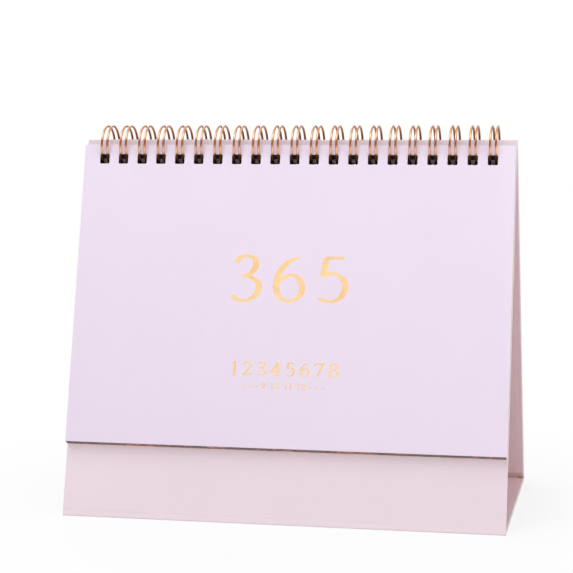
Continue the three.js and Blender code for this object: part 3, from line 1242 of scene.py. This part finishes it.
class Print:
    """Plain figures, drawn with a broad nib, and rules on the front of an upright sheet."""

    STEPS = 7  # pieces of a curve between two of its points
    LONGEST_STRAIGHT = 3  # most points that a stroke may have and still be straight
    SPACE = 0.28  # width of a space as a share of the height
    JOINED = 1e-6  # least distance between the ends of an open stroke
    SHARPEST = 0.45  # limits how far the corner of a bend reaches out
    OVERLAY = 0.004 * MM  # how far out each stroke lies over the one before
    THICKNESS = 0.012 * MM

    def __init__(self, top: float, front: float) -> None:
        """Starts an empty print.

        Args:
            top: Height of the sheet's top edge.
            front: The y of the sheet's front face.
        """
        self.top = top
        self.face = front - self.THICKNESS
        self.mesh = bmesh.new()

    def width(self, character: str) -> float:
        """How far a character reaches across."""
        return max((x for stroke in STROKES[character] for x, _ in stroke), default=self.SPACE)

    def line(self, stroke: Stroke) -> list[Vector]:
        """A stroke's middle line with its curves drawn in.

        Args:
            stroke: The stroke's points.

        Returns:
            The points along its middle.
        """
        knots = [Vector(point) for point in stroke]
        if len(knots) <= self.LONGEST_STRAIGHT:
            return knots
        closed = (knots[0] - knots[-1]).length < self.JOINED
        before = knots[-2] if closed else 2 * knots[0] - knots[1]
        after = knots[1] if closed else 2 * knots[-1] - knots[-2]
        padded = [before, *knots, after]
        result = []
        for p0, p1, p2, p3 in zip(padded, padded[1:], padded[2:], padded[3:]):
            for n in range(self.STEPS):
                t = n / self.STEPS
                result.append(0.5 * (
                    2 * p1 + (p2 - p0) * t + (2 * p0 - 5 * p1 + 4 * p2 - p3) * t ** 2
                    + (3 * p1 - p0 - 3 * p2 + p3) * t ** 3
                ))
        return [*result, knots[-1]]

    def ribbon(self, line: list[Vector], nib: Nib, place: Callable[[Vector, float], Vector]) -> None:
        """Adds one stroke as a flat ribbon.

        Args:
            line: The stroke's middle line.
            nib: The pen.
            place: Takes a point of the digit's box, and how far on in the stroke it
                lies, to the sheet.
        """
        closed = len(line) > self.LONGEST_STRAIGHT and (line[0] - line[-1]).length < self.JOINED
        count = len(line)
        rows = []
        for k, point in enumerate(line[:-1] if closed else line):
            before = line[k - 1] if k > 0 else (line[-2] if closed else line[0])
            after = line[(k + 1) % count] if k + 1 < count else line[-1]
            inward = (point - before).normalized() if (point - before).length > 0 else None
            outward = (after - point).normalized() if (after - point).length > 0 else None
            tangent = ((inward or outward) + (outward or inward)).normalized()
            normal = Vector((-tangent.y, tangent.x))
            miter = 1.0
            if inward and outward:
                miter /= max(self.SHARPEST, math.sqrt(max(0.0, (1 + inward.dot(outward)) / 2)))
            side = normal * nib.reach(normal) * miter
            share = 0.0 if closed else k / count
            rows.append([self.mesh.verts.new(place(end, share)) for end in (point + side, point - side)])
        pairs = list(zip(rows, rows[1:])) + ([(rows[-1], rows[0])] if closed else [])
        for (a, b), (c, d) in pairs:
            self.mesh.faces.new((a, b, d, c))

    def write(self, line: Line) -> None:
        """Writes a line of figures, later strokes a little further out.

        Args:
            line: The line of figures.
        """
        total = sum(self.width(character) for character in line.text) + line.gap * (len(line.text) - 1)
        cursor = -total / 2
        for character in line.text:
            for layer, stroke in enumerate(STROKES[character]):
                self.ribbon(self.line(stroke), line.nib, lambda point, share: Vector((
                    line.x + (point.x + cursor) * line.height * line.stretch,
                    self.face - (layer + share) * self.OVERLAY,
                    self.top - line.below + (point.y - 0.5) * line.height,
                )))
            cursor += self.width(character) + line.gap

    def rule(self, below: float, half: float, thick: float) -> None:
        """Adds a ruled line about the middle of the sheet.

        Args:
            below: Its distance below the sheet's top edge.
            half: Half its length.
            thick: Its thickness.
        """
        z = self.top - below
        corners = ((-half, z), (half, z), (half, z - thick), (-half, z - thick))
        self.mesh.faces.new([self.mesh.verts.new((x, self.face, height)) for x, height in corners])

    def raise_up(self, name: str) -> Piece:
        """Turns the flat print into a thin closed piece.

        Args:
            name: The piece's name.

        Returns:
            The piece.
        """
        data = bpy.data.meshes.new(name)
        self.mesh.to_mesh(data)
        self.mesh.free()
        piece = link(bpy.data.objects.new(name, data))
        with editing(piece):
            pick(piece, Pick.FACE, lambda face: face.normal.y > 0)
            bpy.ops.mesh.flip_normals()
        apply_modifier(piece, "SOLIDIFY", thickness=self.THICKNESS, offset=-1.0)
        return piece


# Cover and leaves


@dataclass(frozen=True)
class MonthGrid:
    """A leaf's print: its number, its day figures and its ruled lines, in metres.

    Heights are below the leaf's top edge. The first day moves on by some columns from leaf to
    leaf.
    """

    number_height: float = 11 * MM
    number_inset: float = 16 * MM
    number_below: float = 19 * MM
    number_nib: Nib = Nib(0.12, 0.03)
    days: int = 30
    day_height: float = 4.2 * MM
    day_nib: Nib = Nib(0.1, 0.06)
    first_row: float = 37 * MM
    row: float = 16.5 * MM
    columns: int = 7
    column: float = 23 * MM
    columns_on: int = 3
    rules: int = 7
    rule: float = 0.12 * MM
    rule_above: float = 6.5 * MM
    foot_margin: float = 6 * MM


@dataclass
class Stack:
    """The cover and the month leaves that hang on the wire."""

    easel: EaselSizes
    binding: BindingSizes
    stack: StackSizes
    punch: Punch
    grid: MonthGrid = MonthGrid()
    last_dark_leaf: int = 9
    first_seed: float = 7.3
    seed_step: float = 0.03
    cover_lines: tuple[Line, ...] = (
        Line("365", 19.2 * MM, 58.0 * MM, Nib(0.125, 0.06), 0.3, 1.15),
        Line("12345678", 5.6 * MM, 96.6 * MM, Nib(0.15, 0.07), 0.4, 1.15),
        Line("---9 10 11 12---", 2.4 * MM, 103.7 * MM, Nib(0.18, 0.15), 0.42),
    )

    def drop(self, distance: float, rise: float) -> float:
        """How far a sheet's holes lie below the ring axis, from its distance and their rise."""
        return math.sqrt(self.binding.radius ** 2 - distance ** 2) + rise

    def places(self) -> list[tuple[float, float]]:
        """Distance from the ring axis and hole drop of the cover and of each leaf.

        Returns:
            The pairs from the front of the stack to the back.
        """
        s = self.stack
        step = s.leaf + s.leaf_gap
        last = self.easel.ring_depth + s.stack_gap + s.leaf / 2
        cover = self.easel.ring_depth + s.stack_gap + s.leaves * step + s.cover / 2
        first_drop = self.drop(cover, s.cover_rise)
        sink = (self.drop(last, s.last_rise) - first_drop) / s.leaves
        leaves = [(last + (s.leaves - k) * step, first_drop + sink * k) for k in range(1, s.leaves + 1)]
        return [(cover, first_drop), *leaves]

    def sheet(self, name: str, thickness: float, rounding: float) -> Piece:
        """Models a punched sheet upright, with its hole centres at height 0.

        Args:
            name: The new object's name.
            thickness: How thick the sheet is.
            rounding: How far its cut edges are broken.

        Returns:
            The sheet, its middle on y = 0.
        """
        s = self.stack
        low = (-s.width / 2, -thickness / 2, s.hole_margin - s.height)
        sheet = add_block(name, low, (s.width / 2, thickness / 2, s.hole_margin))
        apply_modifier(sheet, "BEVEL", width=rounding, segments=2, limit_method="ANGLE")
        self.punch.cut(sheet, 0.0)
        smooth(sheet)
        return sheet

    def hang(self, sheet: Piece, place: tuple[float, float]) -> None:
        """Takes an upright sheet, or its print, to its distance and drop on the wire."""
        distance, drop = place
        settle(sheet, self.easel.to_ring() @ Matrix.Translation((0, -distance, -drop)))

    def build_cover(self, card: Material, foil: Material) -> list[Piece]:
        """Models the cover and its foil figures.

        Args:
            card: The cover's material.
            foil: The figures' material.

        Returns:
            The cover and its figures.
        """
        s = self.stack
        cover = self.sheet("cover_card", s.cover, s.cover_rounding)
        figures_print = Print(s.hole_margin, -s.cover / 2)
        for line in self.cover_lines:
            figures_print.write(line)
        figures = figures_print.raise_up("cover_numerals")
        for piece, material in ((cover, card), (figures, foil)):
            dress(piece, material)
            self.hang(piece, self.places()[0])
        return [cover, figures]

    def leaf_print(self, month: int) -> Piece:
        """Prints one leaf's number, its day figures and its ruled lines.

        Args:
            month: The leaf's number from 1.

        Returns:
            The print.
        """
        s = self.stack
        g = self.grid
        leaf_print = Print(s.hole_margin, -s.leaf / 2)
        number_x = -s.width / 2 + g.number_inset
        leaf_print.write(Line(str(month), g.number_height, g.number_below, g.number_nib, x=number_x))
        for day in range(1, g.days + 1):
            row, column = divmod(day - 1 + (month * g.columns_on) % g.columns, g.columns)
            x = (column - (g.columns - 1) / 2) * g.column
            leaf_print.write(Line(str(day), g.day_height, g.first_row + row * g.row, g.day_nib, x=x))
        for k in range(g.rules):
            below = g.first_row - g.rule_above + k * g.row
            if below < s.height - g.foot_margin:
                leaf_print.rule(below, g.column * g.columns / 2, g.rule)
        return leaf_print.raise_up(f"leaf_print_{month:02d}")

    def build_leaves(self, ink: Material) -> list[tuple[Piece, Piece]]:
        """Models one leaf, copies it for each month and prints the copies.

        Args:
            ink: The print's material.

        Returns:
            Each leaf with its print.
        """
        s = self.stack
        lean = self.easel.lean
        pattern = self.sheet("month_leaf", s.leaf, s.leaf_rounding)
        result = []
        for month, place in enumerate(self.places()[1:], 1):
            holes_at = self.easel.ring_height * math.cos(lean) - place[1]
            finish = LeafFinish(
                name=f"leaf_paper_{month:02d}", lean=lean, holes_at=holes_at,
                foot=holes_at + s.hole_margin - s.height, half_width=s.width / 2,
                seed=self.first_seed + self.seed_step * month, pale=month > self.last_dark_leaf,
            )
            leaf = copy_of(pattern, f"leaf_sheet_{month:02d}")
            print_ = self.leaf_print(month)
            for piece, material in ((leaf, finish.material()), (print_, ink)):
                dress(piece, material)
                self.hang(piece, place)
            result.append((leaf, print_))
        bpy.data.objects.remove(pattern)
        return result


# Studio


@dataclass(frozen=True)
class Lamp:
    """A soft square lamp that faces the calendar, with its power in watts."""

    name: str
    place: Triple
    size: float
    power: float
    color: Color = (0.92, 0.98, 1.0)
    target: Triple = (0.0, 0.0, 0.08)

    def build(self) -> None:
        """Adds the lamp."""
        data = bpy.data.lights.new(self.name, "AREA")
        data.shape = "SQUARE"
        data.size = self.size
        data.energy = self.power
        data.color = self.color
        aim = (Vector(self.target) - Vector(self.place)).to_track_quat("-Z", "Y")
        lamp = link(bpy.data.objects.new(self.name, data))
        lamp.matrix_world = Matrix.Translation(self.place) @ aim.to_matrix().to_4x4()


@dataclass(frozen=True)
class Studio:
    """Floor, light and camera, with the camera's angles in degrees."""

    frame: int = 573
    focal_pixels: float = 1802.9
    shift_pixels: float = -30
    sensor: float = 36.0
    camera_place: Triple = (0.1546, -0.7645, 0.1966)
    azimuth: float = 11.8521
    elevation: float = 6.542
    roll: float = -0.5016
    floor_radius: float = 4.0
    floor_color: Color = (0.93, 0.93, 0.93)
    plain_floor: float = 0.1
    white_floor: float = 0.2
    least_glow: float = 0.82
    white: Color = (1.0, 1.0, 1.0)
    sky: Color = (1.0, 0.93, 0.91)
    sky_strength: float = 0.5
    lamps: tuple[Lamp, ...] = (
        Lamp("key", (-0.35, -0.95, 2.15), 1.8, 26.5),
        Lamp("fill", (1.45, -0.65, 0.35), 0.8, 6.5),
        Lamp("low_fill", (-1.2, -1.1, 0.3), 0.8, 1.2),
        Lamp("rear_fill", (-0.7, 1.7, 1.0), 1.0, 9.0),
    )

    def add_camera(self) -> None:
        """Adds the camera at the photograph's place and angle."""
        data = bpy.data.cameras.new("camera")
        data.sensor_width = self.sensor
        data.lens = self.sensor * self.focal_pixels / self.frame
        data.shift_y = self.shift_pixels / self.frame
        data.clip_start = 0.01
        turns = ((self.azimuth, "Z"), (90 - self.elevation, "X"), (self.roll, "Z"))
        camera = link(bpy.data.objects.new("camera", data))
        matrix = Matrix.Translation(self.camera_place)
        for degrees, axis in turns:
            matrix = matrix @ Matrix.Rotation(math.radians(degrees), 4, axis)
        camera.matrix_world = matrix
        bpy.context.scene.camera = camera

    def add_floor(self) -> None:
        """Adds a pale floor that goes over into the white background."""
        bpy.ops.object.select_all(action="DESELECT")
        bpy.ops.mesh.primitive_circle_add(vertices=64, radius=self.floor_radius, fill_type="NGON")
        floor = bpy.context.object
        floor.name = "floor"
        recipe = Recipe(bpy.data.materials.new("floor"))
        distance = recipe.node("VectorMath", operation="LENGTH", Vector=recipe.place())
        far = recipe.node(
            "MapRange", Value=distance.outputs["Value"], From_Min=self.plain_floor,
            From_Max=self.white_floor, To_Min=self.least_glow,
        )
        paint = recipe.node("BsdfDiffuse", Color=self.floor_color)
        glow = recipe.node("Emission", Color=self.white, Strength=1.0)
        recipe.blend_shaders(recipe.math("MULTIPLY", far.outputs[0], recipe.seen()), paint, glow)
        dress(floor, recipe.owner)

    def add_world(self) -> None:
        """Adds an even sky that shows white behind the object."""
        world = bpy.data.worlds.new("studio")
        bpy.context.scene.world = world
        recipe = Recipe(world)
        sky = recipe.node("Background", Color=self.sky, Strength=self.sky_strength)
        white = recipe.node("Background", Color=self.white, Strength=1.0)
        recipe.blend_shaders(recipe.seen(), sky, white)

    def build(self) -> None:
        """Sets up everything round the object."""
        self.add_camera()
        self.add_floor()
        self.add_world()
        for lamp in self.lamps:
            lamp.build()
        bpy.context.scene.view_settings.view_transform = "Standard"


# Putting it together


def dress_frame(nodes: dict[str, Piece]) -> None:
    """Gives the boards of the frame their material.

    Args:
        nodes: The frame's nodes by name.
    """
    board = GreyboardFinish().material()
    for name, node in nodes.items():
        if name.endswith("_board"):
            dress(node, board)
            LOG.info("%s dressed", name)


def add_easel(easel: EaselSizes, punch: Punch) -> None:
    """Builds the papers of both sides, each round its fold, and hides the frame's papers in their place.

    Args:
        easel: The easel's sizes.
        punch: The punches for its holes.
    """
    paper = OUTER_PAPER.material()
    lining = INNER_PAPER.material()
    for side in Side:
        stand, base = f"{side.prefix}_stand", f"base_{side.prefix}"
        outer = OuterPaper(easel, punch, side).build(paper, lining)
        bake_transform(outer)
        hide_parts(f"{side.prefix}_wrap", f"{side.prefix}_fold_paper", f"{base}_wrap")
        inner = InnerPaper(easel, punch, side).build(lining)
        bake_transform(inner)
        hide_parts(f"{side.prefix}_lining", f"{base}_lining")
        LOG.info("%s and %s on %s and %s", outer.name, inner.name, stand, base)


def add_binding(easel: EaselSizes, binding: BindingSizes) -> None:
    """Builds the wire.

    Args:
        easel: The easel's sizes.
        binding: The wire's sizes.
    """
    wire = WireBinding(easel, binding).build(WireFinish(ring_height=easel.ring_height).material())
    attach(wire, "front_stand")
    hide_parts("wire_binding")
    LOG.info("%s on front_stand", wire.name)


def add_stack(easel: EaselSizes, binding: BindingSizes, punch: Punch) -> None:
    """Builds the cover and the leaves.

    Args:
        easel: The easel's sizes.
        binding: The wire's sizes.
        punch: The punches for the holes.
    """
    stack = Stack(easel, binding, StackSizes(), punch)
    cover, figures = stack.build_cover(COVER_CARD.material(), GOLD_FOIL.material())
    for piece, slot in ((cover, "cover_card"), (figures, "gold_foil")):
        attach(piece, "cover")
        LOG.info("%s on cover", piece.name)
    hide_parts("cover_sheet")
    for month, (leaf, print_) in enumerate(stack.build_leaves(LEAF_INK.material()), 1):
        body = f"leaf_{month:02d}"
        for piece in (leaf, print_):
            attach(piece, body)
        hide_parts(f"month_leaf_{month:02d}")
        LOG.info("%s and %s on %s", leaf.name, print_.name, body)


def main() -> None:
    """Builds every piece in order."""
    logging.basicConfig(level=logging.INFO, format="%(name)s: %(message)s")
    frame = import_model()
    easel = EaselSizes()
    binding = BindingSizes()
    punch = Punch(binding)
    Studio().build()
    dress_frame(frame["nodes"])
    add_easel(easel, punch)
    add_binding(easel, binding)
    add_stack(easel, binding, punch)


if __name__ == "__main__":
    main()
